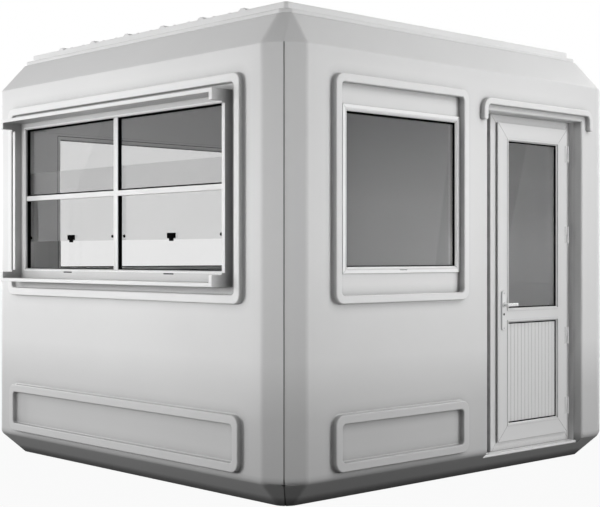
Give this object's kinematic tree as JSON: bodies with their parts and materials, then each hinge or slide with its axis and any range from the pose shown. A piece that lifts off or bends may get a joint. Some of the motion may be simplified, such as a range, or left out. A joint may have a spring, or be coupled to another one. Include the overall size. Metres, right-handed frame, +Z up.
{
  "type": "fibreglass cabin",
  "caption": "Moulded fibreglass cabin with cut corners, a service window with raised lower panes, fixed side windows, a recessed glazed door with lever handle and a ribbed roof.",
  "frame": {"origin": "middle of the footprint on the ground, the underside of the base", "axes": "+Z up, -Y out of the front wall with the service window, +X out of the door wall"},
  "size_m": [2.762, 2.858, 2.44],
  "materials": {
    "gelcoat": "satin moulded gelcoat",
    "white_upvc": "satin extruded plastic",
    "white_metal": "satin white paint",
    "glass": "clear, grey tint",
    "black_plastic": "matte",
    "hinge_metal": "satin white paint",
    "handle_metal": "satin",
    "roof_sheet": "satin coil coating",
    "roof_trim": "satin coil coating"
  },
  "bodies": {
    "cabin": {"back_wall": "gelcoat", "base_tray": "gelcoat", "ceiling_panel": "gelcoat", "door_frame": "white_upvc", "door_hinge_fixed_halves": "hinge_metal", "door_hood_bead": "gelcoat", "door_niche_liner": "gelcoat", "door_threshold": "white_metal", "front_wall_above_window": "gelcoat", "front_wall_below_window": "gelcoat", "front_wall_left_pier": "gelcoat", "front_wall_right_pier": "gelcoat", "front_window_casing": "white_metal", "front_window_fixed_panes": "glass", "front_window_frame": "white_upvc", "front_window_latches": "black_plastic", "front_window_raised_panes": "glass", "front_window_surround": "gelcoat", "left_wall_above_window": "gelcoat", "left_wall_below_window": "gelcoat", "left_wall_left_pier": "gelcoat", "left_wall_right_pier": "gelcoat", "left_window_frame": "white_upvc", "left_window_pane": "glass", "left_window_surround": "gelcoat", "lower_panel_beads": "gelcoat", "right_wall_above_window": "gelcoat", "right_wall_below_window": "gelcoat", "right_wall_far_pier": "gelcoat", "right_wall_middle_pier": "gelcoat", "right_wall_near_pier": "gelcoat", "right_wall_over_door": "gelcoat", "right_window_frame": "white_upvc", "right_window_pane": "glass", "right_window_surround": "gelcoat", "roof_cornice": "gelcoat", "roof_lip": "roof_trim", "roof_sheet": "roof_sheet"},
    "door": {"door_leaf": "white_upvc", "door_pane": "glass", "door_lower_panel": "white_upvc", "door_lock_plates": "handle_metal", "door_hinge_moving_halves": "hinge_metal"},
    "handle": {"door_lever": "handle_metal"}
  },
  "joints": [
    {"name": "door_swing", "type": "hinge", "parent": "cabin", "child": "door", "pos_m": [1.274, 0.991, 1], "axis": [0, 0, 1], "range_deg": [0, 100]},
    {"name": "lever_turn", "type": "hinge", "parent": "door", "child": "handle", "pos_m": [1.274, 0.377, 0.925], "axis": [-1, 0, 0], "range_deg": [0, 45], "stiffness_Nm_per_rad": 1.5}
  ]
}
